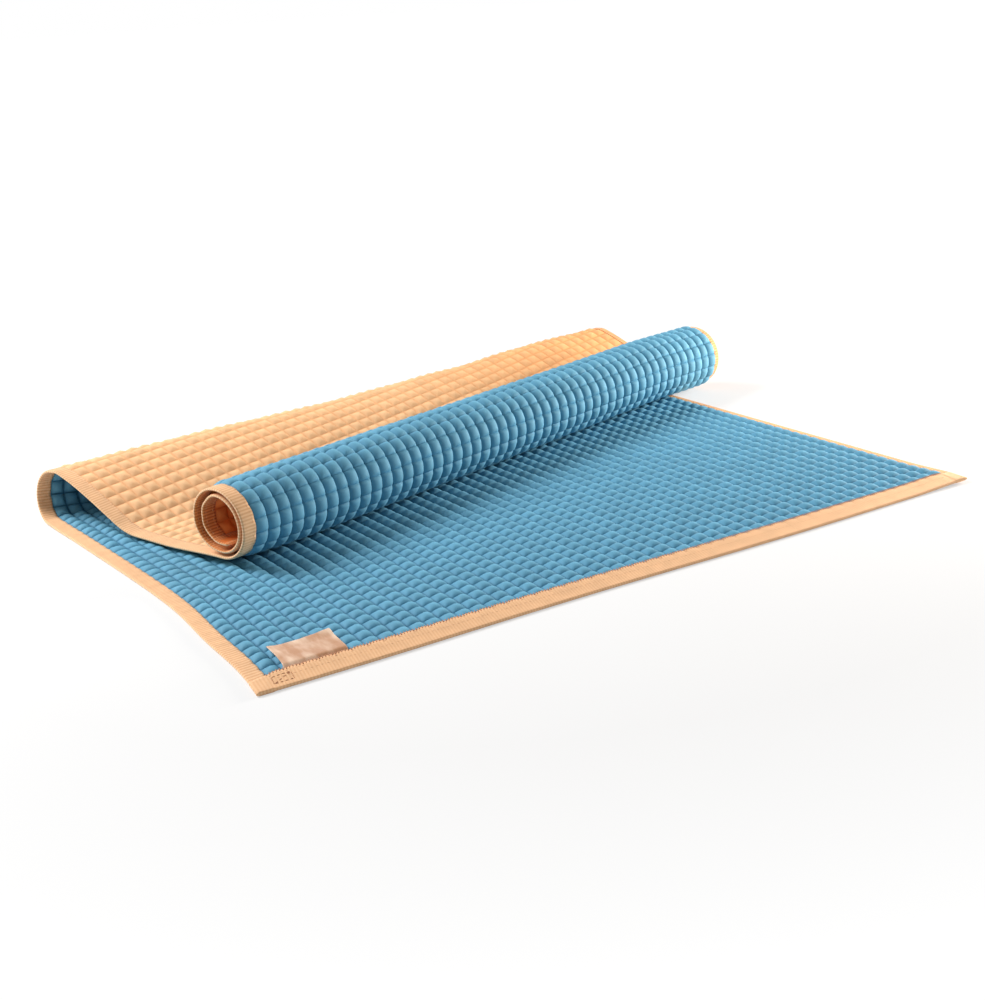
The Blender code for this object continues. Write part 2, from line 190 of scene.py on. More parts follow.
columns, rows = np.arange(CELLS_ACROSS)[:, None], np.arange(CELLS_ALONG)[:, None]
lines_u = np.concatenate([[1.5 * MM, 9.5 * MM],
                          ((columns + (STEPS + 1) / 2) * CELL_U).ravel() + SIDE_TAPE,
                          SHEET_WIDTH - np.array([RIGHT_TAPE, 5 * MM, 1.5 * MM])])
lines_v = np.concatenate([[1.5 * MM, 15 * MM],
                          ((rows + (STEPS + 1) / 2) * CELL_V).ravel() + FIRST_ROW,
                          SHEET_LENGTH - np.array([FIRST_ROW, 15 * MM, 1.5 * MM])])
grid_u, grid_v = np.meshgrid(lines_u, lines_v)
column = np.clip((grid_u - SIDE_TAPE) / CELL_U + SLACK, 0, CELLS_ACROSS - 1).astype(int)
row = np.clip((grid_v - FIRST_ROW) / CELL_V + SLACK, 0, CELLS_ALONG - 1).astype(int)
in_u = 2 * np.clip((grid_u - SIDE_TAPE) / CELL_U - column, 0, 1) - 1
in_v = 2 * np.clip((grid_v - FIRST_ROW) / CELL_V - row, 0, 1) - 1
quad_u, quad_v = ((a[:-1, :-1] + a[1:, 1:]) / 2 for a in (in_u, in_v))
inside = np.minimum.reduce([grid_u - SIDE_TAPE, SHEET_WIDTH - RIGHT_TAPE - grid_u,
                            grid_v - FIRST_ROW, SHEET_LENGTH - FIRST_ROW - grid_v])
cell_tone = np.random.default_rng(11).uniform(-1, 1, (CELLS_ALONG, CELLS_ACROSS))[row, column]

# Where layers lie on each other the cells are pressed lower, from a little AHEAD of the place
# and OVER a length. quarter counts the roll's quarter turns, and behind is how far a point of
# the flat part is behind the roll's line of contact.
PRESSED_AHEAD, PRESSED_OVER = 10 * MM, 7 * MM
LANDED_AHEAD, LANDED_OVER = 8 * MM, 8 * MM
SLOPE_AHEAD, SLOPE_OVER = 12 * MM, 10 * MM
FLAT_BEYOND, FREE_QUARTERS = 80 * MM, [0.1, 0.35, 3.5, 3.75]
on_roll = grid_v > roll_start
grid_q = past_fold(grid_u, grid_v)[1]
quarter = np.interp(grid_v - roll_start, roll_used, roll_angles) / (np.pi / 2)
contact = lay(np.array([0, SHEET_WIDTH]), roll_start, 0)
flat_place = lay(grid_u, np.minimum(grid_v, FLAT_LEFT + FLAT_BEYOND), 0)
behind = (flat_place[..., 1] - contact[0, 1] - (flat_place[..., 0] - contact[0, 0])
          * (contact[1, 1] - contact[0, 1]) / (contact[1, 0] - contact[0, 0]))
covered = (ease((behind + PRESSED_AHEAD) / PRESSED_OVER)
           * ease((landing + LANDED_AHEAD - grid_q) / LANDED_OVER))
near_landing = ease((grid_q - fold_length + SLOPE_AHEAD) / SLOPE_OVER)
blue_room = np.where(on_roll, np.interp(quarter, FREE_QUARTERS, [0, 1, 1, 0]),
                     1 - np.where(grid_q > 0, near_landing, covered))

# The plies are cut in two parts along the valleys nearest to the top of the fold.
quad_columns = np.floor(((lines_u[:-1] + lines_u[1:]) / 2 - SIDE_TAPE) / CELL_U) + 0.5
quad_rows = np.floor(((lines_v[:-1] + lines_v[1:]) / 2 - FIRST_ROW) / CELL_V) + 0.5
over_top = past_fold(*np.meshgrid(SIDE_TAPE + quad_columns * CELL_U,
                                  FIRST_ROW + quad_rows * CELL_V))[1] > FOLD_RADIUS * np.pi
parts = {"laid": ~over_top, "rolled": over_top}


def linear(colour):
    """A written sRGB hex colour as linear red, green, blue and alpha: a 12.92th of the smallest
    values, and the power 2.4 of the others after a small shift."""
    c = np.array([int(colour[k:k + 2], 16) / 255 for k in (1, 3, 5)])
    return (*np.where(c <= 0.04045, c / 12.92, ((c + 0.055) / 1.055) ** 2.4), 1)


def node(tree, kind, links=(), **settings):
    """Adds a shader node, sets its properties and sockets, and links what feeds it."""
    made = tree.nodes.new(kind)
    for name, value in settings.items():
        if hasattr(made, name):
            setattr(made, name, value)
        else:
            made.inputs[name.replace("_", " ")].default_value = value
    for socket, source in dict(links).items():
        tree.links.new(source, made.inputs[socket])
    return made


def finish_of(name, **sockets):
    """A new material's tree, principled shader and coordinates, with plain sockets set."""
    made = bpy.data.materials.new(name)
    made.use_nodes = True
    shader = made.node_tree.nodes["Principled BSDF"]
    for socket, value in sockets.items():
        shader.inputs[socket.replace("_", " ")].default_value = value
    place = node(made.node_tree, "ShaderNodeTexCoord").outputs["Object"]
    return made, made.node_tree, shader, place


def ramp_of(tree, source, *stops):
    """A colour ramp over what feeds it, from its first stop to its last, each a place from 0
    to 1 and a hex colour."""
    made = node(tree, "ShaderNodeValToRGB", {"Fac": source})
    (first, last), between = made.color_ramp.elements, stops[1:-1]
    first.position, first.color = stops[0][0], linear(stops[0][1])
    last.position, last.color = stops[-1][0], linear(stops[-1][1])
    for position, colour in between:
        made.color_ramp.elements.new(position).color = linear(colour)
    return made.outputs["Color"]


def deepen(tree, tinted, shader):
    """Deepens the colour of the rubber or tape by a power of 1 to 2 where its attribute is high:
    painted shade inside the roll and on the peach towards the right, and a deeper colour all
    along the right tape.
    """
    deeper_share = node(tree, "ShaderNodeAttribute", attribute_name="deeper_colour").outputs["Fac"]
    power = node(tree, "ShaderNodeMapRange", {"Value": deeper_share}, To_Min=1.0, To_Max=2.0)
    deep = node(tree, "ShaderNodeGamma", {"Color": tinted.outputs["Color"],
                                          "Gamma": power.outputs[0]})
    tree.links.new(deep.outputs["Color"], shader.inputs["Base Color"])


def bumped(tree, source, shader, strength, depth):
    """Shades the surface as if it rose by up to the depth where the source is high."""
    bump = node(tree, "ShaderNodeBump", {"Height": source}, Strength=strength, Distance=depth)
    tree.links.new(bump.outputs["Normal"], shader.inputs["Normal"])


# Foamed rubber, moulded and left as it comes from the mould. To the eye it is matt and a little
# cloudy, with painted shade in the bonded valleys and a painted highlight on the crowns, and no
# two cells have quite one tone. The pits of its skin are drawn 0.6 mm wide, coarser than real, so
# they show.
CLOUD, SKIN_PIT, PIT_DEPTH = 38 * MM, 0.6 * MM, 0.1 * MM


def rubber(name, valley, crown, highlit_top):
    """Foamed rubber in one colour: valley, crown by a third of the height, and top. The valley is
    darkened as painted shade and the top lightened as a painted highlight.
    """
    made, tree, shader, place = finish_of(name, IOR=1.5, Specular_IOR_Level=0.25)
    relief = node(tree, "ShaderNodeAttribute", attribute_name="relief").outputs["Fac"]
    tone = node(tree, "ShaderNodeAttribute", attribute_name="tone").outputs["Fac"]
    cloud = node(tree, "ShaderNodeTexNoise", {"Vector": place}, Scale=1 / CLOUD, Detail=3.0)
    # Painted shade darkens the colour into the valleys, and a painted highlight lightens it onto
    # the crowns.
    base = ramp_of(tree, relief, (0, valley), (0.35, crown), (1, highlit_top))
    sway = node(tree, "ShaderNodeMath", {0: cloud.outputs["Fac"], 1: tone}, operation="ADD")
    level = node(tree, "ShaderNodeMapRange", {"Value": sway.outputs[0]}, From_Min=-0.5,
                 From_Max=1.5, To_Min=0.94, To_Max=1.06)
    tinted = node(tree, "ShaderNodeHueSaturation", {"Color": base, "Value": level.outputs[0]})
    deepen(tree, tinted, shader)
    skin = node(tree, "ShaderNodeTexNoise", {"Vector": place}, Scale=1 / SKIN_PIT, Detail=2.0)
    rough = node(tree, "ShaderNodeMapRange", {"Value": skin.outputs["Fac"]}, From_Min=0.3,
                 From_Max=0.7, To_Min=0.6, To_Max=0.75)
    tree.links.new(rough.outputs[0], shader.inputs["Roughness"])
    bumped(tree, skin.outputs["Fac"], shader, 0.3, PIT_DEPTH)
    return made


def new_piece(name, points, faces, material):
    """A smooth-shaded piece at the origin, from its points and the corners of its faces."""
    mesh = bpy.data.meshes.new(name)
    mesh.from_pydata(points.reshape(-1, 3).tolist(), [], faces)
    mesh.shade_smooth()
    mesh.materials.append(material)
    piece = bpy.data.objects.new(name, mesh)
    bpy.context.scene.collection.objects.link(piece)
    return piece


def grid_piece(name, points, material, slot, keep=None, rising=None, faces_down=False,
               round_section=False, extra=(), sharp=None):
    """A mesh of the kept quads of a grid of points. rising says which quads split into two
    triangles along the diagonal that rises with both; round_section joins the last column to
    the first and closes both ends; extra gives each point a value under a name."""
    height, width = points.shape[:2]
    index = np.arange(height * width).reshape(height, width)
    if round_section:
        index = np.hstack([index, index[:, :1]])
    faces = np.stack([index[:-1, :-1], index[:-1, 1:], index[1:, 1:], index[1:, :-1]], -1)
    faces = faces[keep] if keep is not None else faces.reshape(-1, 4)
    if rising is not None:
        up = rising[keep][:, None]
        faces = np.concatenate([np.where(up, faces[:, [0, 1, 2]], faces[:, [0, 1, 3]]),
                                np.where(up, faces[:, [0, 2, 3]], faces[:, [1, 2, 3]])])
    if faces_down:
        faces = faces[:, ::-1]
    used, faces = np.unique(faces, return_inverse=True)
    faces = faces.reshape(-1, 4 if rising is None else 3).tolist()
    if round_section:
        faces += [index[0, :-1][::-1].tolist(), index[-1, :-1].tolist()]
    piece = new_piece(name, points.reshape(-1, 3)[used], faces, material)
    if sharp:
        piece.data.set_sharp_from_angle(angle=np.radians(sharp))
    for key, values in dict(extra).items():
        attribute = piece.data.attributes.new(key, "FLOAT", "POINT")
        values = np.broadcast_to(values, (height, width)).ravel()[used]
        attribute.data.foreach_set("value", values.astype(np.float32))
    return piece


def carry(piece, part):
    """The laid part is baked where it lies over the fold, and the rolled part moves with the roll.
    """
    if part == "laid":
        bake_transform(piece)
    else:
        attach(piece, "rolled_end")


def stand_for(stem, part):
    """The laid part stands for the flat and folded solids, the rolled part for the rolled."""
    ends = ("flat", "fold") if part == "laid" else ("rolled",)
    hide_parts(*(f"{stem}_{end}" for end in ends))


def ply(name, h, relief, material, slot, stem, sharp, deeper_colour, **ways):
    """Both parts of a ply, each with its relief, tone and deepened colour, carried, with the
    solids they stand for hidden.
    """
    points = lay(grid_u, grid_v, h)
    made = {}
    for part, keep in parts.items():
        made[part] = grid_piece(f"{name}_{part}", points, material, slot, keep=keep,
                                rising=quad_u * quad_v > 0, sharp=sharp,
                                extra={"relief": relief, "tone": cell_tone, "deeper_colour": deeper_colour},
                                **ways)
        carry(made[part], part)
        stand_for(stem, part)
    return made


# A blue cell is an arch across it, leaning to the right, times an arch along it. On the roll,
# given first, it leans more, its arches are squarer and it sinks less between rows.
BLUE_VALLEY, BLUE_PRESSED, BLUE_CROWN, UNEVEN = 0.2 * MM, 2.3 * MM, 3.4 * MM, 0.08 * MM
ARCH_POWER, ROW_POWER = 0.75, 0.7
blue_rubber = rubber("moulded_blue_rubber", "#2C6482", "#5795B3", "#69A7C3")
lean, squareness, row_squareness, row_depth = (
    np.where(on_roll, rolled, laid)
    for rolled, laid in ((0.2, 0.1), (3, 2), (5, 2.6), (0.65, 0.95)))
arch = (1 - np.abs(in_u - lean * (1 - in_u * in_u)) ** squareness) ** ARCH_POWER
row_arch = (1 - np.abs(in_v) ** row_squareness) ** ROW_POWER
dome = arch * (1 - row_depth * (1 - row_arch))
crown = BLUE_PRESSED + (BLUE_CROWN - BLUE_PRESSED) * blue_room + UNEVEN * cell_tone
blue_h = np.where(inside < -SLACK, UNDER_TAPE, BLUE_VALLEY + (crown - BLUE_VALLEY) * dome)
blue_quilt = ply("blue_quilt", blue_h, dome, blue_rubber, "blue_rubber", "blue_face",
                 sharp=70, deeper_colour=0)


# Peach back: the under ply, the same rubber moulded into four-sided pyramids. On the floor and
# inside the roll's turns they are pressed lower than where they stand free past the fold. Its
# peach is painted deeper and more orange inside the roll and towards the right, as painted shade.
PEACH_VALLEY, PEACH_PRESSED, PEACH_CROWN = 0.25 * MM, 1.95 * MM, 2.6 * MM
PYRAMID_PEAK, PEAK_ROUNDING, FOUR_SIDED = 1.12, 0.12, 9
FREE_OVER, ROLL_AHEAD, ROLL_OVER = 10 * MM, 4 * MM, 8 * MM
INNER_QUARTERS = [2.2, 2.6, 3.9, 4.0, 4.2, 5.3, 5.6]
# The peach's painted shade: its colour deepens inside the roll and towards the right.
DEEPER_FROM, DEEPER_OVER, DEEPER_RIGHT = 0.6, 0.8, 0.3


def deeper_in_roll(quarters):
    """0 on the outside, easing to 1 from 0.6 to 1.4 quarter turns into the roll: how far the
    painted shade deepens the colour there.
    """
    return ease((quarters - DEEPER_FROM) / DEEPER_OVER)


peach_rubber = rubber("moulded_peach_rubber", "#E8A874", "#F4C08E", "#F9C998")
side = (np.abs(in_u) ** FOUR_SIDED + np.abs(in_v) ** FOUR_SIDED) ** (1 / FOUR_SIDED)
pyramid = np.clip(PYRAMID_PEAK - np.hypot(np.clip(side, 0, 1), PEAK_ROUNDING), 0, 1)
past_bight = (ease(grid_q / FREE_OVER)
              * ease((roll_start - ROLL_AHEAD - grid_v) / ROLL_OVER))
peach_room = np.where(on_roll, np.interp(quarter, INNER_QUARTERS, [0, 1, 1, 1, 0, 0, 1]),
                      past_bight)
crown = PEACH_PRESSED + (PEACH_CROWN - PEACH_PRESSED) * peach_room - sag(grid_u, grid_v)
peach_h = np.where(inside < -SLACK, UNDER_TAPE, PEACH_VALLEY + (crown - PEACH_VALLEY) * pyramid)
peach_quilt = ply("peach_quilt", -peach_h, pyramid, peach_rubber, "peach_rubber", "peach_back",
                  sharp=24, faces_down=True,
                  deeper_colour=np.maximum(deeper_in_roll(quarter),
                                     DEEPER_RIGHT * ease(2 * grid_u / SHEET_WIDTH - 1)))


# Binding: a ribbed woven tape, folded over the edge of both plies and stitched down. Its ribs
# run across it, about 2.5 mm apart at the sides and 2.2 mm along the ends. The end tapes are
# sewn on last, over the ends of the side tapes.
SIDE_RIB, END_RIB, POINTS_TO_A_RIB = 2.5 * MM, 2.2 * MM, 5
FEWER_RIBS, FEWER_REACH = 14, 90 * MM
RIB_HEIGHT, MEAN_CREST, UNDER_SHARE = 0.12 * MM, 0.6, 0.4
TAPE_THICKNESS, TAPE_MIDDLE, EDGE_ROUND = 0.5 * MM, 0.9 * MM, 1.4 * MM
CELL_SWELL, UNDER_SWELL, MEAN_SWELL, EDGE_WAVER = 0.4 * MM, 0.15 * MM, 0.45, 0.3 * MM
END_SLIM, SLIM_REACH = 0.45, 2.5 * MM
SWELL_FROM, FADE_FROM, CREST_FADE = 0.6, 0.85, 0.6
outside, inner_face = TAPE_MIDDLE + TAPE_THICKNESS / 2, TAPE_MIDDLE - TAPE_THICKNESS / 2

# Woven polyester tape: to the eye a matt peach cloth with a soft sheen, with brownish painted
# shade between its ribs, a pale painted highlight on their crests and along the folded edge, and
# slightly uneven patches. Its weave is drawn 0.4 mm wide, coarser than real, so that it shows.
WEAVE, WEAVE_DEPTH, PATCH = 0.4 * MM, 0.15 * MM, 9 * MM
binding_tape, tree, shader, place = finish_of("ribbed_binding_tape", Roughness=0.8,
                                              Sheen_Weight=0.12, Specular_IOR_Level=0.25)
rib = node(tree, "ShaderNodeAttribute", attribute_name="rib").outputs["Fac"]
base = ramp_of(tree, rib, (0, "#DFA575"), (0.75, "#F6C899"), (1, "#FFE0B8"))
patch = node(tree, "ShaderNodeTexNoise", {"Vector": place}, Scale=1 / PATCH, Detail=4.0)
level = node(tree, "ShaderNodeMapRange", {"Value": patch.outputs["Fac"]}, From_Min=0.3,
             From_Max=0.7, To_Min=0.93, To_Max=1.05)
tinted = node(tree, "ShaderNodeHueSaturation", {"Color": base, "Value": level.outputs[0]})
deepen(tree, tinted, shader)
weave = node(tree, "ShaderNodeTexNoise", {"Vector": place}, Scale=1 / WEAVE, Detail=2.0)
bumped(tree, weave.outputs["Fac"], shader, 0.45, WEAVE_DEPTH)


def tape(name, width, path, ribs, over_cells, place_on_sheet, raised=0, end_distance=1,
         turns=0, bold=1, all_deeper=0):
    """Carries the tape's section along its edge, a in from the edge and b off the seam. The
    section is a flat U: from the inner edge over the top, round the sheet's edge and back below,
    then the same inside. Its outer face rises at each rib, by a power of a cosine, and its inner
    edge rises over each cell and dips between cells. It is slimmer at its two ends. turns deepens
    the colour of its lower face along the path, as painted shade inside the roll, and all_deeper
    deepens the colour of all of it."""
    slim = 1 - END_SLIM + END_SLIM * np.reshape(ease(end_distance / SLIM_REACH), (-1, 1))
    turn = np.linspace(np.pi / 2, 3 * np.pi / 2, 9)[1:-1]
    leg = np.linspace(width, EDGE_ROUND, 8)
    short, short_turn = leg[[0, 3, 7]], turn[::-3]
    level = np.ones(len(leg))
    a = np.concatenate([leg, EDGE_ROUND + outside * np.cos(turn), leg[::-1], short,
                        EDGE_ROUND + inner_face * np.cos(short_turn), short[::-1]])
    b = np.concatenate([level * outside, outside * np.sin(turn), -level * outside,
                        -level[:3] * inner_face, inner_face * np.sin(short_turn),
                        level[:3] * inner_face])
    outer = np.arange(len(a)) < 2 * len(leg) + len(turn)
    crest = (0.5 - 0.5 * np.cos(2 * np.pi * ribs))[:, None] ** 0.7 * bold + MEAN_CREST * (1 - bold)
    over = np.abs(np.sin(np.pi * over_cells))[:, None]
    inner = ease((a / width - SWELL_FROM) / (1 - SWELL_FROM))
    fade = 1 - CREST_FADE * ease((a / width - FADE_FROM) / (1 - FADE_FROM))
    off = np.sign(b) * (
        outer * RIB_HEIGHT * np.where(b > 0, 1, UNDER_SHARE) * (crest - MEAN_CREST) * fade
        + inner * np.where(b > 0, CELL_SWELL, UNDER_SWELL) * (over - MEAN_SWELL))
    reach = a + EDGE_WAVER * inner * (over - 0.5)
    lift = np.sign(b) * np.reshape(raised, (-1, 1))
    # Painted shade between the ribs, and a painted highlight on their crests and along the folded
    # edge.
    painted_rib_light = np.where(outer, crest * 0.75 + 0.25 * (np.abs(b) < 0.5 * outside), 0.4)
    # The lower face's colour deepens inside the roll's turns as painted shade.
    lower = (b < -0.5 * outside) * np.reshape(turns, (-1, 1))
    return grid_piece(name, place_on_sheet(reach, path[:, None], (b + off + lift) * slim),
                      binding_tape, "binding_tape", round_section=True,
                      extra={"rib": painted_rib_light, "deeper_colour": np.maximum(lower, all_deeper)})


def top_of_fold(u):
    """How far along the sheet the fold's top is, at u across it."""
    return FLAT_LEFT + (FOLD_RADIUS * np.pi + u * np.sin(FOLD_TURN)) / np.cos(FOLD_TURN)


def run_of(part, split, margin):
    """Where a side's laid or rolled part starts and ends along the sheet, inside the margin."""
    return (margin, split) if part == "laid" else (split, SHEET_LENGTH - margin)


def on_right(a, v, h):
    """Place at a in from the right edge."""
    return lay(SHEET_WIDTH - a, v, h)


# The side tapes, each in a laid and a rolled part. The ribs are further apart at the front.
# The right tape's colour is deeper all along.
RIGHT_DEEPER, TAPE_START = 0.35, 2 * MM
sides = {"left": (lay, top_of_fold(0), SIDE_TAPE, 0),
         "right": (on_right, top_of_fold(SHEET_WIDTH), RIGHT_TAPE, RIGHT_DEEPER)}
tapes = {"laid": [], "rolled": []}
for side_name, (on_side, split, width, all_deeper) in sides.items():
    for part in parts:
        ends = run_of(part, split, TAPE_START)
        path = np.linspace(*ends, int((ends[1] - ends[0]) / SIDE_RIB * POINTS_TO_A_RIB))
        ribs = path / SIDE_RIB - FEWER_RIBS * (1 - np.exp(-path / FEWER_REACH))
        quarters = np.interp(path - roll_start, roll_used, roll_angles) / (np.pi / 2)
        piece = tape(f"binding_tape_{side_name}_{part}", width, path, ribs,
                     (path - FIRST_ROW) / CELL_V, on_side, turns=deeper_in_roll(quarters),
                     all_deeper=all_deeper)
        stand_for(f"binding_{side_name}", part)
        carry(piece, part)
        tapes[part].append(piece)

# The end tapes. The front one steps up over the ends of the side tapes, and its upper leg
# slopes up onto the cells. The back one is inside the roll.
FRONT_RISE, CORNER_FLAT = 2 * MM, 22 * MM
END_GAP, OVER_SIDE_TAPE, STEP_AFTER, STEP_REACH = 0.3 * MM, 0.35 * MM, 1.5 * MM, 2 * MM


def on_front(a, u, h):
    """Place at a in from the front edge. The tape's upper leg slopes up from the edge onto the
    cells, and lies flat at the corners, where there are none."""
    room = ease(np.minimum(u, SHEET_WIDTH - u) / CORNER_FLAT)
    return lay(u, a, h + np.where(h > 0, FRONT_RISE * ease(a / END_TAPE) * room, 0))


def on_back(a, u, h):
    """Place at a in from the back edge."""
    return lay(u, SHEET_LENGTH - a, h)


across = np.linspace(END_GAP, SHEET_WIDTH - END_GAP, int(SHEET_WIDTH / END_RIB * POINTS_TO_A_RIB))
from_side = np.minimum(across, SHEET_WIDTH - across)
step = OVER_SIDE_TAPE * ease((SIDE_TAPE + STEP_AFTER - from_side) / STEP_REACH)
for end_name, on_end, body, part, raised in (
        ("front", on_front, "laid_sheet", "laid", step),
        ("back", on_back, "rolled_end", "rolled", 0)):
    piece = tape(f"binding_tape_{end_name}", END_TAPE, across, across / END_RIB,
                 (across - SIDE_TAPE) / CELL_U, on_end, raised=raised,
                 end_distance=from_side, turns=end_name == "back", bold=0.5)
    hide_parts(f"binding_{end_name}")
    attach(piece, body)
    tapes[part].append(piece)


# Stitching: a lockstitch in tan thread near each tape's inner edge, its needle thread on the
# blue face and its bobbin thread on the peach one, with a second row near the folded edge on
# the left and the front. Brown thread overcasts the front hem's inner edge and boxes its corner.
STITCH, STITCH_SHARE = 3.7 * MM, 0.8
# The overcast is drawn thicker than the other thread: it is the real brown thread and also a dark
# line of painted shade in the gap along the tape's inner edge.
THREAD_RADIUS, OVERCAST_RADIUS = 0.2 * MM, 0.3 * MM
NEEDLE_LEVEL, BOBBIN_LEVEL, STITCH_DIP = 1.12 * MM, -1.1 * MM, 0.45 * MM
FIBRE = 0.5 * MM


def spun_thread(name, dark, pale):
    """Spun polyester thread: to the eye matt and a little hairy, flecked from dark to pale
    along its fibres, which are drawn 0.5 mm long so that they show."""
    made, tree, shader, place = finish_of(name, Roughness=0.75, Sheen_Weight=0.2)
    fibre = node(tree, "ShaderNodeTexNoise", {"Vector": place}, Scale=1 / FIBRE, Detail=1.0)
    flecks = ramp_of(tree, fibre.outputs["Fac"], (0, dark), (1, pale))
    tree.links.new(flecks, shader.inputs["Base Color"])
    return made


tan_thread = spun_thread("spun_tan_thread", "#DBA374", "#F0C093")
brown_thread = spun_thread("spun_brown_thread", "#9A5A36", "#BA7E55")
thread_rows = {"laid": [], "rolled": []}


def dashes(start, stop, inset):
    """Two ends of each stitch of a straight row at one inset, as (along, inset) pairs."""
    middle = np.arange(start + STITCH / 2, stop, STITCH)
    half = STITCH * STITCH_SHARE / 2
    return (np.stack([middle - half, np.full_like(middle, inset)], -1),
            np.stack([middle + half, np.full_like(middle, inset)], -1))


def stitches(name, ends, level, place_on_sheet, part, thread=tan_thread, radius=THREAD_RADIUS):
    """One six-sided bar to each stitch, from end to end, which dips into the tape at both by
    the cube of the distance from its middle."""
    begin, end = (np.concatenate(e)[:, None, None] for e in zip(*ends))
    share = np.linspace(0, 1, 6)[None, :, None]
    ring = np.linspace(0, 2 * np.pi, 7)[:-1][None, None, :]
    run = end - begin
    run = run / np.linalg.norm(run, axis=-1, keepdims=True)
    swell = radius * np.cos(ring)
    along = begin[..., 0] + (end - begin)[..., 0] * share - run[..., 1] * swell
    inset = begin[..., 1] + (end - begin)[..., 1] * share + run[..., 0] * swell
    height = level + np.sign(level) * (radius * np.sin(ring)
                                       - STITCH_DIP * np.abs(2 * share - 1) ** 3)
    along, inset, height = np.broadcast_arrays(along, inset, height)
    index = np.arange(along.size).reshape(along.shape)
    turned = np.roll(index, -1, axis=2)
    quads = np.stack([index[:, :-1], index[:, 1:], turned[:, 1:], turned[:, :-1]], -1)
    caps = np.concatenate([index[:, 0], index[:, -1, ::-1]])
    piece = new_piece(name, place_on_sheet(inset, along, height),
                      quads.reshape(-1, 4).tolist() + caps.tolist(), thread)
    thread_rows[part].append(piece)
    return piece


SEAM_INSET, EDGE_ROW, END_SEAM_INSET, END_EDGE_ROW = 2.2 * MM, 3.2 * MM, 2.6 * MM, 7 * MM
for thread_name, level in (("needle_thread", NEEDLE_LEVEL), ("bobbin_thread", BOBBIN_LEVEL)):
    for side_name, (on_side, split, width, all_deeper) in sides.items():
        for part in parts:
            ends = run_of(part, split, END_TAPE)
            seams = [dashes(*ends, width - SEAM_INSET)]
            if side_name == "left":
                seams.append(dashes(*ends, EDGE_ROW))
            piece = stitches(f"{thread_name}_row_{side_name}_{part}", seams, level, on_side, part)
            stand_for(f"{thread_name}_{side_name}", part)
            carry(piece, part)
    inner_row, second_row = (dashes(SIDE_TAPE, SHEET_WIDTH - SIDE_TAPE, END_TAPE - inset)
                             for inset in (END_SEAM_INSET, END_EDGE_ROW))
    for end_name, seams, on_end, part, body in (
            ("front", [inner_row, second_row], on_front, "laid", "laid_sheet"),
            ("back", [inner_row], on_back, "rolled", "rolled_end")):
        piece = stitches(f"{thread_name}_row_{end_name}", seams, level, on_end, part)
        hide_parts(f"{thread_name}_{end_name}")
        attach(piece, body)

# The overcast ticks lean a little, and cross from the tape onto the cells. The box in the corner
# is 13 by 7 mm with one diagonal, given as its corners across and in from the front edge.
OVERCAST_PITCH, TICK_LEAN, TICK_FROM, TICK_TO = 2.2 * MM, 0.3 * MM, 1.5 * MM, 1.3 * MM
OVERCAST_LEVEL, BOX_LEVEL, BOX_GAP = 1.5 * MM, 1.3 * MM, 0.1
BOX = np.array([[13, 5], [26, 5], [26, 12], [13, 12], [13, 5], [26, 12]]) * MM
teeth = np.arange(SIDE_TAPE, SHEET_WIDTH - SIDE_TAPE, OVERCAST_PITCH)
overcast = (np.stack([teeth, np.full_like(teeth, END_TAPE - TICK_FROM)], -1),
            np.stack([teeth + TICK_LEAN, np.full_like(teeth, END_TAPE + TICK_TO)], -1))
corner_box = [(np.linspace(p, q, 5)[:-1] + BOX_GAP * (q - p) / 4,
               np.linspace(p, q, 5)[1:] - BOX_GAP * (q - p) / 4)
              for p, q in zip(BOX[:-1], BOX[1:])]
for name, seams, level, radius in (
        ("overcast_front", [overcast], OVERCAST_LEVEL, OVERCAST_RADIUS),
        ("corner_box_stitches", corner_box, BOX_LEVEL, THREAD_RADIUS)):
    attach(stitches(name, seams, level, on_front, "laid", brown_thread, radius), "laid_sheet")


# Label: a plain woven satin ribbon, its front edge caught under the front binding. It climbs
# onto the cells and drapes over them, its back and left edges stand off them, and it has one
# slow wave.
LABEL_LEFT, LABEL_LONG, LABEL_DEEP, LABEL_THICKNESS = 23.5 * MM, 44 * MM, 33 * MM, 0.3 * MM
LABEL_CAUGHT, LABEL_SKEW = 2 * MM, 0.8 * MM
LABEL_LOW, LABEL_CLIMB, LABEL_DRAPE = 0.9 * MM, 2.7 * MM, 0.25 * MM
BACK_CURL, LEFT_CURL, SLOW_WAVE = 1.2 * MM, 0.8 * MM, 0.35 * MM

# Satin: to the eye smooth and half glossy across its threads, with long soft streaks of painted
# highlight and painted shade, as where it has creased.
STREAK = 8 * MM
label_satin, tree, shader, place = finish_of(
    "woven_label_satin", Roughness=0.42, Sheen_Weight=0.25, Anisotropic=0.5)
stretched = node(tree, "ShaderNodeMapping", {"Vector": place})
stretched.inputs["Scale"].default_value = (1, 0.3, 1)
painted_streaks = node(tree, "ShaderNodeTexNoise", {"Vector": stretched.outputs[0]}, Scale=1 / STREAK,
               Detail=3.0)
# The streaks are painted highlight and painted shade.
base = ramp_of(tree, painted_streaks.outputs["Fac"], (0.35, "#BF885E"), (0.65, "#EBC8AA"))
tree.links.new(base, shader.inputs["Base Color"])

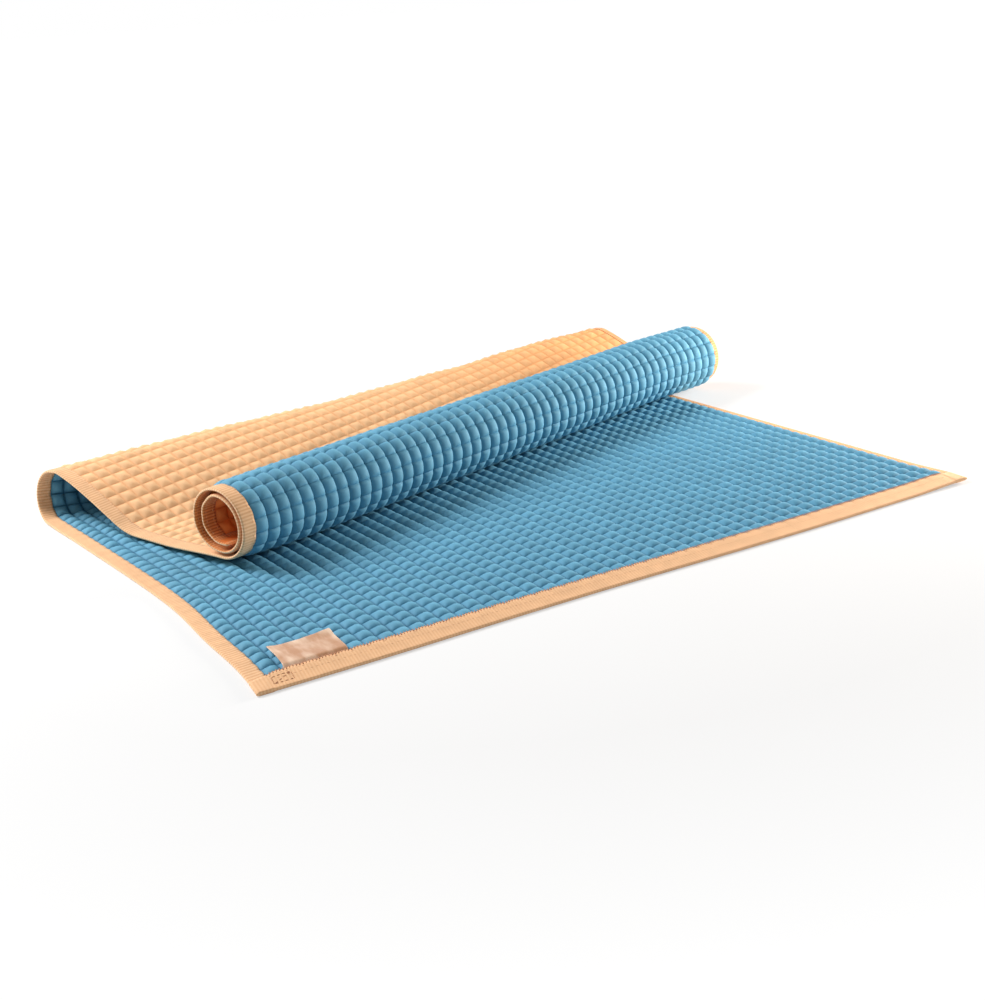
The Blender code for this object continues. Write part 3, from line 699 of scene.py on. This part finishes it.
# a goes across the label from its left edge and b along it from its front, both from 0 to 1.
a, b = np.meshgrid(np.linspace(0, 1, 60), np.linspace(0, 1, 46))
label_u = LABEL_LEFT + a * LABEL_LONG + LABEL_SKEW * np.sin(3 * b) * (1 - a)
label_v = END_TAPE - LABEL_CAUGHT + b * LABEL_DEEP
over_cells = (np.abs(np.sin(np.pi * (label_u - SIDE_TAPE) / CELL_U))
              * np.abs(np.sin(np.pi * (label_v - FIRST_ROW) / CELL_V)))
label_h = (LABEL_LOW + LABEL_CLIMB * ease((b - 0.04) / 0.16) + LABEL_DRAPE * over_cells
           + BACK_CURL * ease((b - 0.7) / 0.3) * (0.3 + a ** 3)
           + LEFT_CURL * ease((0.15 - a) / 0.15) * b + SLOW_WAVE * np.sin(5 * a + 2.5 * b) * b)
label = grid_piece("blank_label", lay(label_u, label_v, label_h), label_satin, "label_satin")
ribbon = label.modifiers.new("ribbon", "SOLIDIFY")
ribbon.thickness, ribbon.offset = LABEL_THICKNESS, 1
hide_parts("label")
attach(label, "laid_sheet")


# The stage: a white floor that keeps only the sheet's soft shadow, and even daylight from all
# round. Near the sheet the floor is half paint, which takes the shadow, and half glow, which
# keeps it white. Further off it is all glow.
FLOOR_DEPTH, FLOOR_REACH, FLOOR_GLOW = 0.3 * MM, 40, 1.06
ALL_PAINT_WITHIN, ALL_GLOW_BEYOND, NEAR_GLOW = 0.45, 0.75, 0.5
DAYLIGHT = 0.29


def seen_share(tree, unseen, seen):
    """seen for the rays that the eye follows, straight or by gloss or glass, and unseen for
    others: the largest of the three rays' marks says which."""
    rays = node(tree, "ShaderNodeLightPath")
    mark = node(tree, "ShaderNodeMath", {0: rays.outputs["Is Camera Ray"],
                                         1: rays.outputs["Is Glossy Ray"]}, operation="MAXIMUM")
    mark = node(tree, "ShaderNodeMath", {0: mark.outputs[0],
                                         1: rays.outputs["Is Transmission Ray"]},
                operation="MAXIMUM")
    return node(tree, "ShaderNodeMapRange", {"Value": mark.outputs[0]}, To_Min=unseen,
                To_Max=seen).outputs[0]


floor_paint = bpy.data.materials.new("white_floor")
floor_paint.use_nodes = True
tree = floor_paint.node_tree
tree.nodes.clear()
matt = node(tree, "ShaderNodeBsdfDiffuse", Color=linear("#E7E7E7"))
glow = node(tree, "ShaderNodeEmission", Strength=FLOOR_GLOW)
place = node(tree, "ShaderNodeTexCoord").outputs["Object"]
away = node(tree, "ShaderNodeVectorMath", {0: place}, operation="LENGTH").outputs["Value"]
far = node(tree, "ShaderNodeMapRange", {"Value": away}, From_Min=ALL_PAINT_WITHIN,
           From_Max=ALL_GLOW_BEYOND, To_Min=NEAR_GLOW)
share = node(tree, "ShaderNodeMath", {0: seen_share(tree, 0, 1), 1: far.outputs[0]},
             operation="MULTIPLY")
mixed = node(tree, "ShaderNodeMixShader", {0: share.outputs[0], 1: matt.outputs[0],
                                           2: glow.outputs[0]})
node(tree, "ShaderNodeOutputMaterial", {"Surface": mixed.outputs[0]})
floor_mesh = bpy.data.meshes.new("floor")
floor_mesh.from_pydata([(x * FLOOR_REACH, y * FLOOR_REACH, -FLOOR_DEPTH)
                        for x, y in ((-1, -1), (1, -1), (1, 1), (-1, 1))], [], [(0, 1, 2, 3)])
floor_mesh.materials.append(floor_paint)
floor = bpy.data.objects.new("floor", floor_mesh)
bpy.context.scene.collection.objects.link(floor)

world = bpy.data.worlds.new("daylight")
bpy.context.scene.world = world
world.use_nodes = True
tree = world.node_tree
tree.nodes.clear()
sky = node(tree, "ShaderNodeBackground", {"Strength": seen_share(tree, DAYLIGHT, 1)},
           Color=linear("#FFFFFF"))
node(tree, "ShaderNodeOutputWorld", {"Surface": sky.outputs[0]})


# The lamps: a large soft one behind on the left, and a smaller, warmer and lower one on the
# right along the roll. Places and sizes are in metres.
def soft_lamp(name, place, size, power, colour):
    """A square area lamp at a place, turned to face the middle of the sheet."""
    light = bpy.data.lights.new(name, "AREA")
    light.shape, light.size, light.energy, light.color = "SQUARE", size, power, colour
    lamp = bpy.data.objects.new(name, light)
    look = -np.array(place) / np.linalg.norm(place)
    right = np.cross(look, [0, 0, 1])
    right /= np.linalg.norm(right)
    turned = np.stack([right, np.cross(right, look), -look, place], axis=1)
    lamp.matrix_world = Matrix([*turned.tolist(), [0, 0, 0, 1]])
    bpy.context.scene.collection.objects.link(lamp)


soft_lamp("key_lamp", place=(-1.0, 1.0, 1.25), size=0.8, power=41, colour=(1, 1, 1))
soft_lamp("side_lamp", place=(0.95, -0.2, 0.21), size=0.25, power=13, colour=(1, 0.91, 0.82))
bpy.context.scene.view_settings.view_transform = "Standard"

# The camera stands at the photograph's place: a little above the sheet, off its left front
# corner, with its horizon tipped as the photograph's is.
CAMERA_PLACE = (-601.0 * MM, -1028.2 * MM, 380.4 * MM)
CAMERA_HEADING, CAMERA_DROP, CAMERA_ROLL = np.radians([31.163, 18.134, -3.614])
FOCAL_PIXELS, LONG_SIDE_PIXELS, SENSOR = 1541.6, 1000, 36
look = np.array([np.sin(CAMERA_HEADING) * np.cos(CAMERA_DROP),
                 np.cos(CAMERA_HEADING) * np.cos(CAMERA_DROP), -np.sin(CAMERA_DROP)])
level_right = np.array([np.cos(CAMERA_HEADING), -np.sin(CAMERA_HEADING), 0])
right = (level_right * np.cos(CAMERA_ROLL)
         + np.cross(level_right, look) * np.sin(CAMERA_ROLL))
eye = bpy.data.cameras.new("camera")
eye.sensor_width, eye.clip_start = SENSOR, 0.01
eye.lens = FOCAL_PIXELS / LONG_SIDE_PIXELS * SENSOR
camera = bpy.data.objects.new("camera", eye)
turned = np.stack([right, np.cross(right, look), -look, CAMERA_PLACE], axis=1)
camera.matrix_world = Matrix([*turned.tolist(), [0, 0, 0, 1]])
bpy.context.scene.collection.objects.link(camera)
bpy.context.scene.camera = camera
